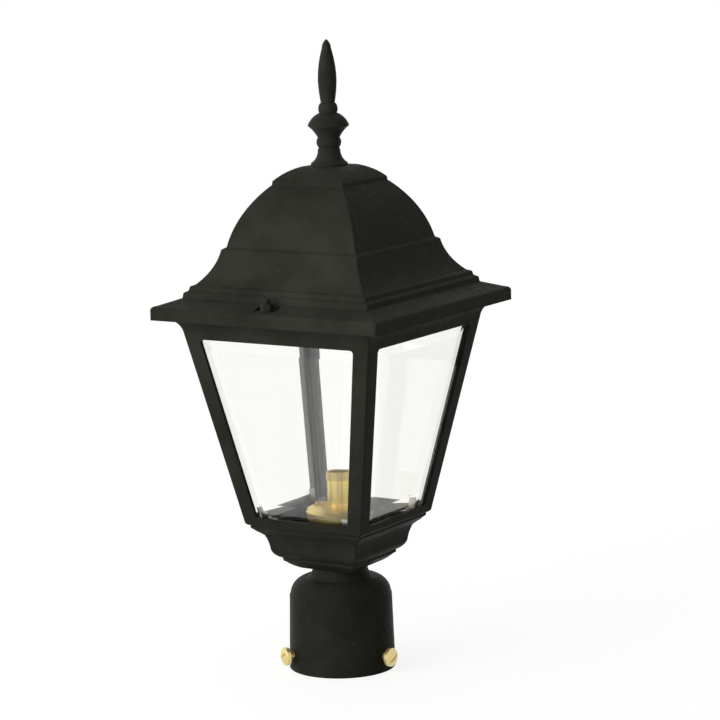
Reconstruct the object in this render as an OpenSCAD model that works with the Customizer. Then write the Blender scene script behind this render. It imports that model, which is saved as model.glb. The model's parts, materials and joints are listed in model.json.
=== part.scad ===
// Post top lantern: square tapering cage with bevelled panes, domed roof with a spear finial,
// brass lampholder, and a round collar that slips over the top of a post.
// Millimetres. Z is up. The origin is the centre of the collar's bottom rim.

/* [Collar] */
// Outer diameter of the collar at its bottom rim
collar_d = 85; // [83.5:0.5:100]
// Bore that slips over the post
collar_bore_d = 77.2; // [66:0.2:77.6]
// How deep the post goes in before it meets the stop
post_depth = 52; // [36:1:55]
// Height of the collar wall up to the shoulder
collar_h = 60; // [58:1:80]
// Loss of radius of the collar wall from the rim to the shoulder
collar_draft = 1.6; // [0.4:0.1:1.8]
// Height of the rounded shoulder
shoulder_h = 13.4; // [11:0.2:18]
// Diameter of the neck at its top
neck_d = 44; // [40:1:48]
// Height of the neck
neck_h = 8.6; // [7:0.2:16]
// Thickness of the plate that closes the neck
neck_plate = 3.5; // [2.5:0.1:5]
// Wall of the shoulder and the neck
collar_wall = 3.6; // [3:0.1:4.5]

/* [Collar screws] */
// Height of the three screws above the rim
screw_z = 13; // [11:0.5:20]
// Thread diameter of the screws
screw_d = 6; // [4:0.5:7]
// Diameter of the domed head
screw_head_d = 14.8; // [12:0.2:17]
// Thickness of the head
screw_head_h = 6; // [4:0.2:8]
// Space between head and collar wall as it is delivered
screw_standoff = 4.1; // [1.4:0.1:5]
// Width of the driver slot in the head
screw_slot = 1.6; // [1:0.1:2.4]

/* [Bowl] */
// Height of the bowl
bowl_h = 38.5; // [34:0.5:48]
// How far the bowl's rim stands back from the cage's bottom edge
rim_inset = 3; // [2.6:0.1:5]
// Width of the bowl at its waist, under the two upper ledges
bowl_waist_w = 86; // [82:1:90]
// Width of the bowl at its lower ledge
bowl_foot_w = 65.6; // [62:0.5:70]
// Width of the face that sits on the neck
bowl_seat_w = 42.8; // [40:0.5:44]
// Wall of the bowl
bowl_wall = 3.2; // [2.4:0.1:3.8]

/* [Cage] */
// Height of the cage from the bowl to the top of its flange
cage_h = 171.6; // [140:1:210]
// Outer width of the cage at its bottom edge
cage_bottom_w = 108; // [104:1:116]
// How far the eave reaches past the cage's walls on each side
eave_overhang = 18.2; // [17.6:0.1:24]
// Thickness of the cage's walls, square to the wall
cage_wall = 3.2; // [2.4:0.1:4]
// Thickness of the ledge that the panes stand on
ledge_t = 3; // [2:0.2:5]
// How far the ledge reaches in from the cage's outer bottom edge
pane_ledge_w = 16; // [15:0.5:18]
// Thickness of the flange that carries the roof
flange_t = 3.5; // [2.5:0.1:5]
// How far the flange reaches out past the cage wall
flange_reach = 8.7; // [8:0.1:9.6]
// Height of the cove under the flange
cove_h = 10.6; // [8:0.2:14]
// Height of the rail under the window
bottom_rail = 7; // [6:0.5:12]
// Distance from the flange's top to the window
top_rail = 19.6; // [18.6:0.2:26]
// Face width of a corner stile beside the window's bottom
stile_bottom = 12.5; // [11:0.5:14]
// Face width of a corner stile beside the window's top
stile_top = 13.8; // [12:0.2:16]
// Corner radius of the windows
window_r = 3; // [1:0.5:6]

/* [Panes] */
// Thickness of the glass
pane_t = 3; // [2:0.2:4]
// Width of the bevel along each edge
bevel_w = 16; // [6:1:22]
// Depth that the bevel takes off at the edge
bevel_depth = 1; // [0.4:0.1:1.8]
// Thickness of the sheet metal of the clips
clip_t = 1; // [0.6:0.1:1.4]

/* [Roof] */
// Width of the roof across its eaves
eave_w = 207; // [204:1:216]
// Height of the eave's upright lip
eave_lip = 7.9; // [6:0.1:9]
// Rise of the eave from its bottom edge to the foot of the skirt
eave_rise = 16; // [15:0.2:19]
// Width of the sloping shelf of the eave, from its lip to the skirt
eave_shelf = 18.9; // [18:0.1:21]
// Height of each of the two small steps at the skirt's foot
step_h = 5; // [4:0.2:6]
// Depth of each of the two small steps
step_d = 3; // [2:0.2:4]
// Height of the hollow skirt above the steps
skirt_h = 26.2; // [20:0.2:34]
// Width of the roof where the skirt meets the dome's ledge
ledge_w = 125.2; // [118:0.4:130]
// Width of the dome at its foot
dome_w = 119; // [112:1:122]
// Height of the dome
dome_h = 46; // [40:1:56]
// Width of the cap at its foot
cap_w = 66; // [58:1:72]
// Height of the upright edge of the cap
cap_edge = 3.6; // [2:0.2:5]
// Height of the cap above its edge
cap_h = 10.6; // [8:0.2:14]
// Width of the flat on the cap's top
cap_flat = 31; // [30:0.5:36]
// Wall of the roof casting
roof_wall = 3; // [2.4:0.1:3.4]

/* [Finial] */
// Height of the finial above the cap
finial_h = 98.2; // [80:0.2:120]
// Diameter of the finial's foot
finial_foot_d = 29; // [24:0.5:30]
// Diameter of the sharp-edged disc
finial_disc_d = 32.2; // [26:0.2:36]
// Diameter of the spear at its thickest
spear_d = 14.7; // [11:0.1:17]
// Thread diameter of the finial's stud
finial_stud_d = 6; // [4:0.5:7]

/* [Roof fastening] */
// Thread diameter of the two roof studs
stud_d = 5; // [4:0.5:6]
// Width across flats of the two roof nuts
nut_af = 9.2; // [8:0.2:10]
// Height of a roof nut
nut_h = 4.6; // [3.6:0.2:5.4]
// How far each stud stands out of its nut
stud_end = 3.8; // [2:0.2:6]
// Radius of the flat that is sunk into the eave for each nut
seat_r = 10; // [8:0.1:10.4]

/* [Lampholder] */
// Outer diameter of the brass cup
cup_d = 49; // [42:0.5:56]
// Height of the cup
cup_h = 7.4; // [7:0.2:10]
// Height of the cup's bottom above the bowl's rim
cup_lift = 0.4; // [0:0.1:4]
// Sheet thickness of cup, cover and sleeve
brass_t = 0.5; // [0.4:0.1:0.8]
// Outer diameter of the brass sleeve
sleeve_d = 15.6; // [15.4:0.1:19]
// Height of the sleeve's ring above the cup's bottom
holder_h = 38.1; // [36:0.5:48]
// Height of the ring at the top of the sleeve
ring_h = 6.5; // [4:0.5:9]
// Inner diameter of the screw shell, a small candelabra screw
shell_bore_d = 12.2; // [11.8:0.1:12.6]
// Thread diameter of the nipple
nipple_d = 10; // [8:0.5:10]
// Bore of the nipple for the leads
nipple_bore_d = 7; // [5:0.5:7]

/* [Hidden] */
$fn = 64;

// Clearances between pieces that are screwed or slipped together
thread_gap = 0.05;
loose_gap = 0.3;
pane_gap = 0.2;
cut = 1;

black = [0.16, 0.16, 0.14];
brass = [0.85, 0.68, 0.32];
steel = [0.62, 0.62, 0.6];
clear = [0.8, 0.88, 0.86, 0.4];

// Widths that follow from the eave and from the cage's bottom edge
cage_top_w = eave_w - 2 * eave_overhang;
skirt_w = eave_w - 2 * eave_shelf;
ledge_opening = cage_bottom_w - 2 * pane_ledge_w;
bowl_rim_w = cage_bottom_w - 2 * rim_inset;

// Heights of the seats, from the post upwards
shoulder_z = collar_h;
neck_z = shoulder_z + shoulder_h;
bowl_z = neck_z + neck_h;
cage_z = bowl_z + bowl_h;
flange_z = cage_z + cage_h;
eave_drop = 3.7;
eave_z = flange_z - eave_drop;
cap_z = eave_z + eave_rise + 2 * step_h + skirt_h + 1.8 + dome_h + cap_edge + cap_h;

// The cage's walls lean outwards by this much for each millimetre of height
cage_edge = 1.5;
cove_z = flange_z - flange_t - cove_h;
slope = (cage_top_w - cage_bottom_w) / 2 / (cove_z - cage_z - cage_edge);
lean = atan(slope);
function cage_half(z) = cage_bottom_w / 2 + slope * (z - cage_z - cage_edge);
function cage_inside(z) = cage_half(z) - cage_wall / cos(lean);
flange_half = cage_top_w / 2 + flange_reach;
ledge_z = cage_z + ledge_t;
window_bottom = cage_z + bottom_rail;
window_top = flange_z - top_rail;

// The panes stand on the ledge and lean against the cage's walls
pane_bottom = ledge_z + 0.1 - (pane_gap + bevel_depth) * sin(lean);
pane_top = window_top + 6.5;
pane_back_t = pane_gap + pane_t;
clip_face_t = pane_back_t + 0.1;
function along(z) = (z - pane_bottom) / cos(lean);
function pane_half(v) = cage_inside(pane_bottom + v * cos(lean)) - pane_back_t / cos(lean) - 0.4;

// Corner clips and the screws that go down through them
corner_screw = cage_bottom_w / 2 - 13.5;
corner_screw_d = 4;
corner_thread = 7;
clip_w = 6;
clip_h = 9;
top_clip_at = cage_top_w / 2 - 40.3;
top_clip_w = 8;
top_screw_d = 3;

// The roof's studs stand just inside the eave's lip, in ears of the cage's flange
boss_r = 6;
stud_at = eave_w / 2 - roof_wall - boss_r - 1;
seat_z = eave_z + eave_lip + 3.7;
washer_t = 1;
stud_top = seat_z + washer_t + nut_h + stud_end;
finial_thread = 11;
finial_nut_h = 5;
finial_washer_t = 1.4;

// The nipple stands in the neck and carries the lampholder
plate_z = bowl_z - neck_plate;
hex_m10 = 17;
cup_z = cage_z + cup_lift;
holder_top = cup_z + holder_h;
insulator_z = cup_z + brass_t + 5.5;
nipple_bottom = plate_z - 12;
nipple_top = insulator_z + 4.5;
insulator_r = sleeve_d / 2 - brass_t - thread_gap;
shell_t = 0.4;

// Points between p and q on an arc that bows by s to the left of the way from p to q
function bow(p, q, s, n) =
    let (way = q - p)
    let (span = norm(way))
    let (r = span * span / (8 * abs(s)) + abs(s) / 2)
    let (half = asin(span / (2 * r)))
    let (ahead = way / span)
    let (left = [-ahead[1], ahead[0]] * sign(s))
    let (centre = (p + q) / 2 - left * (r - abs(s)))
    [for (i = [1 : n - 1])
        let (t = -half + 2 * half * i / n)
        centre + r * (left * cos(t) + ahead * sin(t))];

// A closed outline from its right-hand half
function both_sides(half) =
    concat(half, [for (i = [len(half) - 1 : -1 : 0]) [-half[i][0], half[i][1]]]);

// Corner points of an outline, each replaced by an arc of radius r
function rounded(points, r, n) =
    [for (i = [0 : len(points) - 1])
        let (here = points[i])
        let (before = points[(i + len(points) - 1) % len(points)] - here)
        let (after = points[(i + 1) % len(points)] - here)
        let (a = before / norm(before))
        let (b = after / norm(after))
        let (half = acos(a * b) / 2)
        let (middle = (a + b) / norm(a + b))
        let (centre = here + middle * r / sin(half))
        let (start = centre - here - a * (a * (centre - here)))
        let (end = centre - here - b * (b * (centre - here)))
        for (k = [0 : n])
            let (mix = -start * (1 - k / n) - end * k / n)
            centre + r * mix / norm(mix)];

// A square solid: its four sides all have the same outline of [half width, height]
module four_sided(half) {
    reach = 2 * max([for (p = half) p[0]]) + 2 * cut;
    intersection() {
        rotate([90, 0, 0])
            linear_extrude(height = reach, center = true)
                polygon(both_sides(half));
        rotate([90, 0, 90])
            linear_extrude(height = reach, center = true)
                polygon(both_sides(half));
    }
}

module tube(r_out, r_in, h) {
    difference() {
        cylinder(r = r_out, h = h);
        translate([0, 0, -cut])
            cylinder(r = r_in, h = h + 2 * cut);
    }
}

// A hexagon nut with its thread as a plain bore
module hex_nut(af, d, h) {
    difference() {
        cylinder(r = af / 2 / cos(30), h = h, $fn = 6);
        translate([0, 0, -cut])
            cylinder(d = d + 2 * thread_gap, h = h + 2 * cut);
    }
}

// A pan head screw that points down from the origin
module pan_screw(d, head_d, head_h, length) {
    difference() {
        intersection() {
            cylinder(d = head_d, h = head_h);
            translate([0, 0, head_h - head_d])
                sphere(r = head_d);
        }
        translate([-head_d, -d / 10, head_h * 0.55])
            cube([2 * head_d, d / 5, head_h]);
    }
    translate([0, 0, -length])
        cylinder(d = d, h = length + head_h / 4);
}

// Puts a piece on the inner face of wall k: x across, y up the wall, z outwards
module on_wall(k) {
    rotate([0, 0, 90 * k])
        translate([0, -cage_inside(pane_bottom), pane_bottom])
            rotate([90 + lean, 0, 0])
                children();
}

// Roof casting: eave, two steps, hollow skirt, ledge, dome and cap
step_foot = eave_z + eave_rise;
skirt_foot = step_foot + 2 * step_h;
ledge_top = skirt_foot + skirt_h;
dome_foot = ledge_top + 1.8;
cap_foot = dome_foot + dome_h;
eave_half = eave_w / 2;
skirt_half = skirt_w / 2;
skirt_start = [skirt_half - 2 * step_d - 1, skirt_foot];
skirt_end = [ledge_w / 2, ledge_top];
dome_start = [dome_w / 2, dome_foot];
dome_end = [cap_w / 2 + 0.8, cap_foot];
cap_start = [cap_w / 2 - 0.4, cap_foot + cap_edge];
cap_end = [cap_flat / 2, cap_z];
eave_shoulder = [eave_half - 3.2, eave_z + eave_lip + 2.8];
roof_outline = concat(
    [[eave_half, eave_z], [eave_half, eave_z + eave_lip]],
    bow([eave_half, eave_z + eave_lip], eave_shoulder, -0.85, 6),
    [eave_shoulder, [skirt_half + 0.6, step_foot],
        [skirt_half, step_foot + step_h - 1],
        [skirt_half - step_d, step_foot + step_h + 0.6],
        [skirt_half - step_d - 0.8, skirt_foot - 1.2],
        skirt_start],
    bow(skirt_start, skirt_end, 2.4, 13),
    [skirt_end, dome_start],
    bow(dome_start, dome_end, -3.9, 18),
    [dome_end, [cap_w / 2, cap_foot + 0.4], cap_start],
    bow(cap_start, cap_end, -1.4, 7),
    [cap_end]);
roof_core = concat(
    [[eave_half - roof_wall, eave_z - cut]],
    [for (i = [1 : len(roof_outline) - 1]) roof_outline[i] - [roof_wall, roof_wall]]);

module roof() {
    color(black)
        difference() {
            union() {
                difference() {
                    four_sided(roof_outline);
                    four_sided(roof_core);
                }
                intersection() {
                    four_sided(roof_outline);
                    union() {
                        for (side = [-1, 1])
                            translate([0, side * stud_at, flange_z])
                                cylinder(r = seat_r + 1.6, h = eave_rise);
                        for (side = [-1, 1])
                            translate([side * (flange_half - 5), 0, flange_z])
                                cylinder(r = 4, h = eave_rise - 4);
                    }
                }
            }
            for (side = [-1, 1])
                translate([0, side * stud_at, 0]) {
                    translate([0, 0, seat_z])
                        cylinder(r = seat_r, h = 3 * step_h);
                    translate([0, 0, eave_z])
                        cylinder(d = stud_d + 2 * loose_gap, h = eave_rise);
                }
            translate([0, 0, cap_z - roof_wall - cut])
                cylinder(d = finial_stud_d + 2 * loose_gap, h = roof_wall + 2 * cut);
        }
}

// Finial: foot, bead, sharp disc and spear, all on one turned outline
module finial() {
    h = finial_h / 98.2;
    foot = finial_foot_d / 2;
    disc = finial_disc_d / 2;
    spear = spear_d / 2;
    groove = spear * 1.13;
    outline = concat(
        [[0, 0], [foot, 0], [foot, 1.8 * h]],
        bow([foot, 1.8 * h], [groove + 0.6, 12.2 * h], 1.6, 8),
        [[groove + 0.6, 12.2 * h], [groove, 13.2 * h], [groove, 14.2 * h]],
        bow([groove, 14.2 * h], [groove + 0.3, 21.6 * h], -1.3, 8),
        [[groove + 0.3, 21.6 * h]],
        bow([groove + 0.3, 21.6 * h], [disc, 30.8 * h], 0.7, 6),
        [[disc, 30.8 * h], [disc, 31.8 * h]],
        bow([disc, 31.8 * h], [spear + 0.9, 40.4 * h], -1, 7),
        [[spear + 0.9, 40.4 * h], [spear * 0.94, 40.8 * h]],
        bow([spear * 0.94, 40.8 * h], [spear * 0.9, 47.8 * h], -0.9, 7),
        [[spear * 0.9, 47.8 * h], [spear * 0.75, 48.9 * h]],
        bow([spear * 0.75, 48.9 * h], [spear, 66 * h], -0.3, 8),
        [[spear, 66 * h]],
        bow([spear, 66 * h], [spear * 0.5, 91 * h], -0.9, 11),
        [[spear * 0.5, 91 * h]],
        bow([spear * 0.5, 91 * h], [0, finial_h], -0.9, 7),
        [[0, finial_h]]);
    color(black)
        translate([0, 0, cap_z])
            difference() {
                rotate_extrude()
                    polygon(outline);
                translate([0, 0, -cut])
                    cylinder(d = finial_stud_d + 2 * thread_gap, h = finial_thread + 1 + cut);
            }
}

module finial_stud() {
    color(steel)
        translate([0, 0, cap_z - roof_wall - finial_washer_t - finial_nut_h - 1.6])
            cylinder(d = finial_stud_d,
                h = roof_wall + finial_washer_t + finial_nut_h + 1.6 + finial_thread);
}

module finial_washer() {
    color(steel)
        translate([0, 0, cap_z - roof_wall - finial_washer_t])
            tube(finial_stud_d + 2, finial_stud_d / 2 + loose_gap, finial_washer_t);
}

module finial_nut() {
    color(steel)
        translate([0, 0, cap_z - roof_wall - finial_washer_t - finial_nut_h])
            hex_nut(finial_stud_d + 4, finial_stud_d, finial_nut_h);
}

// Hexagon nut that holds the roof down, its top corners turned off
module roof_nut(side) {
    corner_r = nut_af / 2 / cos(30);
    color(black)
        translate([0, side * stud_at, seat_z + washer_t])
            difference() {
                intersection() {
                    cylinder(r = corner_r, h = nut_h, $fn = 6);
                    rotate_extrude()
                        polygon([[0, 0], [corner_r, 0], [corner_r, nut_h - 0.6],
                            [nut_af / 2 - 0.2, nut_h], [0, nut_h]]);
                }
                translate([0, 0, -cut])
                    cylinder(d = stud_d + 2 * thread_gap, h = nut_h + 2 * cut);
            }
}

module roof_washers() {
    color(black)
        for (side = [-1, 1])
            translate([0, side * stud_at, seat_z])
                tube(stud_d + 0.4, stud_d / 2 + loose_gap, washer_t);
}

module roof_studs() {
    color(black)
        for (side = [-1, 1])
            translate([0, side * stud_at, flange_z - flange_t])
                cylinder(d = stud_d, h = stud_top - flange_z + flange_t);
}

// Cage casting: leaning walls with four windows, ledge below, coved flange with ears above
cage_outline = concat(
    [[cage_bottom_w / 2 - cage_edge, cage_z], [cage_bottom_w / 2, cage_z + cage_edge],
        [cage_half(cove_z), cove_z]],
    bow([cage_half(cove_z), cove_z], [flange_half - 0.5, flange_z - flange_t], 1.57, 9),
    [[flange_half - 0.5, flange_z - flange_t], [flange_half, flange_z - flange_t + 0.5],
        [flange_half, flange_z]]);

module window_cut() {
    low = cage_half(window_bottom) - stile_bottom;
    high = cage_half(window_top) - stile_top;
    corners = [[low, window_bottom], [high, window_top],
        [-high, window_top], [-low, window_bottom]];
    rotate([90, 0, 0])
        linear_extrude(height = 2 * cage_top_w, center = true)
            polygon(rounded(corners, window_r, 4));
}

module cage() {
    core = [[cage_inside(ledge_z), ledge_z],
        [cage_inside(flange_z + cut), flange_z + cut]];
    hole = ledge_opening / 2;
    color(black)
        difference() {
            union() {
                difference() {
                    four_sided(cage_outline);
                    four_sided(core);
                    window_cut();
                    rotate([0, 0, 90])
                        window_cut();
                    translate([0, 0, cage_z - cut])
                        linear_extrude(height = ledge_t + 2 * cut)
                            polygon(rounded([[hole, -hole], [hole, hole],
                                [-hole, hole], [-hole, -hole]], 10, 4));
                }
                for (side = [-1, 1]) {
                    ear_out = stud_at + boss_r;
                    ear_in = cage_inside(flange_z) + 1;
                    translate([-boss_r, side > 0 ? ear_in : -stud_at, flange_z - flange_t])
                        cube([2 * boss_r, stud_at - ear_in, flange_t]);
                    translate([0, side * stud_at, flange_z - flange_t])
                        cylinder(r = boss_r, h = flange_t);
                }
            }
            for (side = [-1, 1])
                translate([0, side * stud_at, cove_z])
                    cylinder(d = stud_d + 2 * thread_gap, h = cove_h + flange_t + cut);
            for (k = [0 : 3])
                rotate([0, 0, 90 * k]) {
                    translate([corner_screw, -corner_screw, cage_z - cut])
                        cylinder(d = corner_screw_d + 2 * loose_gap, h = ledge_t + 2 * cut);
                    for (side = [-1, 1])
                        translate([side * top_clip_at, -(flange_half - 4), flange_z - flange_t])
                            translate([0, 0, -cut])
                                cylinder(d = top_screw_d + 2 * thread_gap, h = flange_t + 2 * cut);
                }
        }
}

// Bevelled pane: flat back, thin edge, and a front face inside the four bevels
module pane(k) {
    high = along(pane_top);
    side = (pane_half(high) - pane_half(0)) / high;
    inset = bevel_w * sqrt(1 + side * side);
    low_in = pane_half(0) + side * bevel_w - inset;
    high_in = pane_half(high) - side * bevel_w - inset;
    outer = [[-pane_half(0), 0], [pane_half(0), 0], [pane_half(high), high], [-pane_half(high), high]];
    inner = [[-low_in, bevel_w], [low_in, bevel_w],
        [high_in, high - bevel_w], [-high_in, high - bevel_w]];
    back = -pane_back_t;
    edge = -pane_gap - bevel_depth;
    front = -pane_gap;
    points = concat(
        [for (p = outer) [p[0], p[1], back]],
        [for (p = outer) [p[0], p[1], edge]],
        [for (p = inner) [p[0], p[1], front]]);
    rings = [for (i = [0 : 3]) for (row = [0, 4])
        [row + i, row + 4 + i, row + 4 + (i + 1) % 4, row + (i + 1) % 4]];
    color(clear)
        on_wall(k)
            polyhedron(points, concat([[0, 1, 2, 3], [11, 10, 9, 8]], rings));
}

// Bent clips that reach down from the flange behind each pane's top edge
module top_clips() {
    leg_in = cage_inside(flange_z) - (clip_face_t + clip_t) / cos(lean);
    color(steel)
        for (k = [0 : 3])
            for (side = [-1, 1]) {
                on_wall(k)
                    translate([side * top_clip_at - top_clip_w / 2, along(window_top),
                        -clip_face_t - clip_t])
                        cube([top_clip_w, along(flange_z + 0.6) - along(window_top), clip_t]);
                rotate([0, 0, 90 * k])
                    difference() {
                        translate([side * top_clip_at - top_clip_w / 2, -flange_half + 0.6, flange_z])
                            cube([top_clip_w, flange_half - leg_in - 0.8, clip_t]);
                        translate([side * top_clip_at, -(flange_half - 4), flange_z - cut])
                            cylinder(d = top_screw_d + 2 * loose_gap, h = clip_t + 2 * cut);
                    }
            }
}

module clip_screws() {
    color(steel)
        for (k = [0 : 3])
            for (side = [-1, 1])
                rotate([0, 0, 90 * k])
                    translate([side * top_clip_at, -(flange_half - 4), flange_z + clip_t])
                        pan_screw(top_screw_d, 5.4, 1.9, clip_t + flange_t);
}

// Corner clips: a plate on the ledge with one tab behind each of two panes
module bottom_clips() {
    start = corner_screw - clip_w;
    reach = cage_inside(ledge_z) - clip_face_t / cos(lean);
    color(steel)
        for (k = [0 : 3]) {
            difference() {
                union() {
                    rotate([0, 0, 90 * k])
                        translate([start, -reach, ledge_z])
                            cube([reach - start, reach - start, clip_t]);
                    on_wall(k)
                        translate([start, along(ledge_z), -clip_face_t - clip_t])
                            cube([clip_w, clip_h, clip_t]);
                    on_wall(k + 1)
                        translate([-start - clip_w, along(ledge_z), -clip_face_t - clip_t])
                            cube([clip_w, clip_h, clip_t]);
                }
                rotate([0, 0, 90 * k]) {
                    translate([corner_screw, -corner_screw, ledge_z - cut])
                        cylinder(d = corner_screw_d + 2 * loose_gap, h = clip_t + 2 * cut);
                    translate([start - cut, -reach - 3 * cut, ledge_z - 2 * cut])
                        cube([reach, reach, 2 * cut]);
                }
            }
        }
}

module cage_screws() {
    color(steel)
        for (k = [0 : 3])
            rotate([0, 0, 90 * k])
                translate([corner_screw, -corner_screw, ledge_z + clip_t])
                    pan_screw(corner_screw_d, 1.75 * corner_screw_d, 0.6 * corner_screw_d,
                        clip_t + ledge_t + corner_thread);
}

// Bowl casting: square, with two ledges under its rim and one above its foot
rim_half = bowl_rim_w / 2;
waist_half = bowl_waist_w / 2;
foot_half = bowl_foot_w / 2;
bowl_waist_z = cage_z - 9.5;
bowl_foot_z = bowl_z + 9.8;
bowl_outline = concat(
    [[bowl_seat_w / 2, bowl_z]],
    bow([bowl_seat_w / 2, bowl_z], [foot_half - 1.6, bowl_z + 6.4], -0.6, 4),
    [[foot_half - 1.6, bowl_z + 6.4], [foot_half, bowl_z + 7.4], [foot_half + 0.2, bowl_foot_z]],
    bow([foot_half + 0.2, bowl_foot_z], [waist_half - 3.2, bowl_z + 17], -1.2, 9),
    [[waist_half - 3.2, bowl_z + 17]],
    bow([waist_half - 3.2, bowl_z + 17], [waist_half, bowl_waist_z], 0.5, 7),
    [[waist_half, bowl_waist_z], [waist_half + 2.2, bowl_waist_z + 2],
        [waist_half + 4.4, bowl_waist_z + 3.6], [waist_half + 6.2, bowl_waist_z + 5.4],
        [rim_half, cage_z - 2.6], [rim_half, cage_z]]);

module bowl() {
    rim_t = 3.2;
    hole = ledge_opening / 2;
    core = concat(
        [[bowl_outline[0][0] - bowl_wall, bowl_z + bowl_wall]],
        [for (p = bowl_outline)
            if (p[1] > bowl_z + 1 && p[1] < cage_z - rim_t - bowl_wall - 2)
                [p[0] - bowl_wall, p[1] + bowl_wall]],
        [[hole + 2, cage_z - rim_t]]);
    color(black)
        difference() {
            union() {
                difference() {
                    four_sided(bowl_outline);
                    four_sided(core);
                    translate([0, 0, cage_z - rim_t - cut])
                        linear_extrude(height = rim_t + 2 * cut)
                            polygon(rounded([[hole, -hole], [hole, hole],
                                [-hole, hole], [-hole, -hole]], 10, 4));
                }
                intersection() {
                    four_sided(bowl_outline);
                    for (k = [0 : 3])
                        rotate([0, 0, 90 * k])
                            translate([corner_screw, -corner_screw, cage_z - corner_thread - 1.5])
                                cylinder(r = 1.1 * corner_screw_d, h = corner_thread - 1);
                }
            }
            for (k = [0 : 3])
                rotate([0, 0, 90 * k])
                    translate([corner_screw, -corner_screw, cage_z - corner_thread - 0.6])
                        cylinder(d = corner_screw_d + 2 * thread_gap, h = corner_thread + 0.6 + cut);
            translate([0, 0, bowl_z - cut])
                cylinder(d = nipple_d + 2 * thread_gap, h = bowl_wall + 2 * cut);
        }
}

// Nipple: threaded tube through neck, bowl and cup, with the leads inside
module nipple() {
    color(steel)
        translate([0, 0, nipple_bottom])
            tube(nipple_d / 2, nipple_bore_d / 2, nipple_top - nipple_bottom);
}

nut_m10_h = 5;
m10_washer_t = 1.2;
module nipple_nuts() {
    color(steel) {
        translate([0, 0, plate_z - m10_washer_t - nut_m10_h])
            hex_nut(hex_m10, nipple_d, nut_m10_h);
        translate([0, 0, bowl_z + bowl_wall + m10_washer_t])
            hex_nut(hex_m10, nipple_d, nut_m10_h);
        translate([0, 0, cup_z - nut_m10_h])
            hex_nut(14, nipple_d, nut_m10_h);
        translate([0, 0, cup_z + brass_t])
            hex_nut(14, nipple_d, nut_m10_h);
    }
}

module nipple_washers() {
    color(steel) {
        translate([0, 0, plate_z - m10_washer_t])
            tube(nipple_d + 1, nipple_d / 2 + loose_gap, m10_washer_t);
        translate([0, 0, bowl_z + bowl_wall])
            tube(nipple_d + 1, nipple_d / 2 + loose_gap, m10_washer_t);
    }
}

// Lampholder: cup with two tapped pillars, cover, sleeve with ring, insulator, shell and contact
cup_r = cup_d / 2;
cup_floor_r = cup_r - 3;
cover_rise = 4.4;
cover_z = cup_z + cup_h;
cover_seat_z = cover_z + 4.2;
cover_screw_r = cup_r * 0.6;
cover_screw_d = 3;
cover_head_d = 7;
pillar_r = 2.6;

// The two screws of the cover stand opposite each other
module cover_screw_places() {
    for (angle = [-148, 32])
        rotate([0, 0, angle])
            translate([cover_screw_r, 0, 0])
                children();
}

module lamp_cup() {
    rim = cup_z + cup_h;
    color(brass)
        difference() {
            union() {
                rotate_extrude()
                    polygon(concat(
                        [[nipple_d / 2 + thread_gap, cup_z], [cup_floor_r, cup_z]],
                        bow([cup_floor_r, cup_z], [cup_r, cup_z + 3], -0.87, 6),
                        [[cup_r, cup_z + 3], [cup_r, rim], [cup_r - brass_t, rim],
                            [cup_r - brass_t, cup_z + 3]],
                        bow([cup_r - brass_t, cup_z + 3], [cup_floor_r, cup_z + brass_t], 0.72, 6),
                        [[cup_floor_r, cup_z + brass_t],
                            [nipple_d / 2 + thread_gap, cup_z + brass_t]]));
                cover_screw_places()
                    translate([0, 0, cup_z + brass_t / 2])
                        cylinder(r = pillar_r, h = cover_seat_z - 1.6 - cup_z - brass_t / 2);
            }
            cover_screw_places()
                translate([0, 0, cover_seat_z - 8])
                    cylinder(d = cover_screw_d + 2 * thread_gap, h = 9);
        }
}

sleeve_r = sleeve_d / 2;
module lamp_cover() {
    hug = sleeve_r + thread_gap;
    top = cover_z + cover_rise;
    color(brass)
        difference() {
            union() {
                rotate_extrude()
                    polygon(concat(
                        [[cup_r - brass_t - 1, cover_z], [cup_r + 0.6, cover_z],
                            [cup_r + 0.6, cover_z + brass_t]],
                        bow([cup_r + 0.6, cover_z + brass_t], [hug + brass_t, top], -1.3, 8),
                        [[hug + brass_t, top], [hug + brass_t, top + 1.6],
                            [hug, top + 1.6], [hug, top - brass_t]],
                        bow([hug, top - brass_t], [cup_r - brass_t - 1, cover_z], 1.3, 8)));
                cover_screw_places()
                    translate([0, 0, cover_seat_z - 1.6])
                        cylinder(d = cover_head_d + 1.2, h = 1.6);
            }
            cover_screw_places() {
                translate([0, 0, cover_z])
                    cylinder(d = cover_screw_d + 2 * thread_gap, h = 10);
                translate([0, 0, cover_seat_z])
                    cylinder(d = cover_head_d + 1.2, h = 5);
            }
        }
}

module cover_screws() {
    color(brass)
        cover_screw_places()
            translate([0, 0, cover_seat_z])
                pan_screw(cover_screw_d, cover_head_d, 2.6, 7.5);
}

module lamp_sleeve() {
    color(brass)
        translate([0, 0, insulator_z])
            tube(sleeve_r, sleeve_r - brass_t, holder_top - 3 - insulator_z);
}

module sleeve_ring() {
    color(brass)
        translate([0, 0, holder_top - ring_h])
            difference() {
                cylinder(r = sleeve_r + thread_gap + 0.8, h = ring_h);
                translate([0, 0, -cut])
                    cylinder(r = sleeve_r + thread_gap, h = ring_h - 1.4 + cut);
                translate([0, 0, -cut])
                    cylinder(r = shell_bore_d / 2 + shell_t, h = ring_h + 2 * cut);
            }
}

module lamp_insulator() {
    top = holder_top - 1.5;
    shell_r = shell_bore_d / 2 + shell_t + thread_gap;
    color([0.12, 0.1, 0.09])
        difference() {
            translate([0, 0, insulator_z])
                cylinder(r = insulator_r, h = top - insulator_z);
            translate([0, 0, insulator_z - cut])
                cylinder(d = nipple_d + 2 * thread_gap, h = nipple_top - insulator_z + 0.5 + cut);
            translate([0, 0, nipple_top + 3])
                cylinder(r = shell_r, h = holder_top - nipple_top);
            translate([0, 0, nipple_top])
                cylinder(r = 1.25, h = 4);
        }
}

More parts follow.
